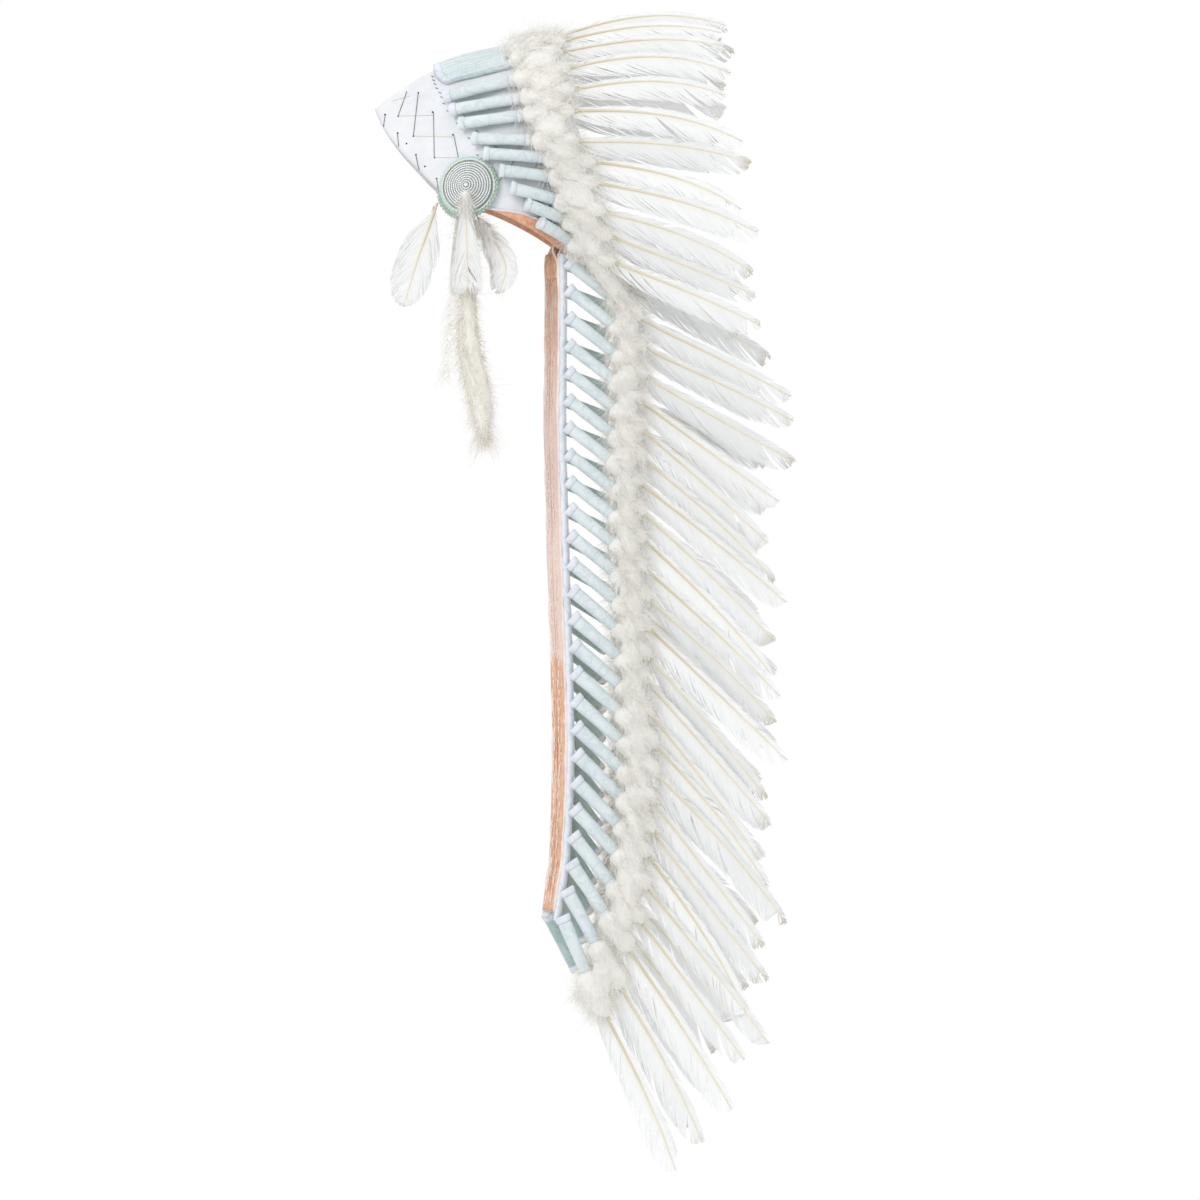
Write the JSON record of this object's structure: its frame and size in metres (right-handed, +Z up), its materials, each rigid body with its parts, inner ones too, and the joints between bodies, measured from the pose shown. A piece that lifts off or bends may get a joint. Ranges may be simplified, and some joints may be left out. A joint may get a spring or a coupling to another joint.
{
  "type": "feathered headdress",
  "caption": "Feathered headdress: leather cap with a crown of wrapped feather quills, side rosettes, fur drops and a long double-row feather trailer.",
  "frame": {"origin": "centre of the cap's rim opening, where it sits on the head", "axes": "-X is the way the wearer looks, -Y is the wearer's left, +Z is up; the trailer hangs along -Z"},
  "size_m": [0.4172, 0.2326, 1.1525],
  "materials": {
    "leather": "soft white tanned hide",
    "suede": "tan brushed suede",
    "cloth": "finely woven pale blue-green cloth",
    "feather": "white feather with soft down",
    "felt": "matt felt with a pinked edge",
    "beadwork": "silvery white beads in close rows",
    "fur": "ivory fur"
  },
  "bodies": {
    "root": {"cap": "leather", "crown_panel": "cloth", "crown_quill_left_1": "cloth", "crown_quill_left_2": "cloth", "crown_quill_left_3": "cloth", "crown_quill_left_4": "cloth", "crown_quill_left_5": "cloth", "crown_quill_left_6": "cloth", "crown_quill_left_7": "cloth", "crown_quill_left_8": "cloth", "crown_quill_left_9": "cloth", "crown_quill_right_1": "cloth", "crown_quill_right_2": "cloth", "crown_quill_right_3": "cloth", "crown_quill_right_4": "cloth", "crown_quill_right_5": "cloth", "crown_quill_right_6": "cloth", "crown_quill_right_7": "cloth", "crown_quill_right_8": "cloth", "crown_quill_right_9": "cloth", "crown_plumes_top": "feather", "crown_plumes_left_1": "feather", "crown_plumes_left_2": "feather", "crown_plumes_left_3": "feather", "crown_plumes_right_1": "feather", "crown_plumes_right_2": "feather", "crown_plumes_right_3": "feather", "trailer_strip": "suede", "quill_row_left": "cloth", "trailer_plumes_left_1": "feather", "trailer_plumes_left_2": "feather", "trailer_plumes_left_3": "feather", "trailer_plumes_left_4": "feather", "trailer_plumes_left_5": "feather", "quill_row_right": "cloth", "trailer_plumes_right_1": "feather", "trailer_plumes_right_2": "feather", "trailer_plumes_right_3": "feather", "trailer_plumes_right_4": "feather", "trailer_plumes_right_5": "feather", "rosette_felt_left": "felt", "rosette_disc_left": "beadwork", "rosette_feather_front_left": "feather", "rosette_feather_middle_left": "feather", "rosette_feather_curled_left": "feather", "fur_drop_left": "fur", "rosette_felt_right": "felt", "rosette_disc_right": "beadwork", "rosette_feather_front_right": "feather", "rosette_feather_middle_right": "feather", "rosette_feather_curled_right": "feather", "fur_drop_right": "fur"}
  },
  "joints": []
}
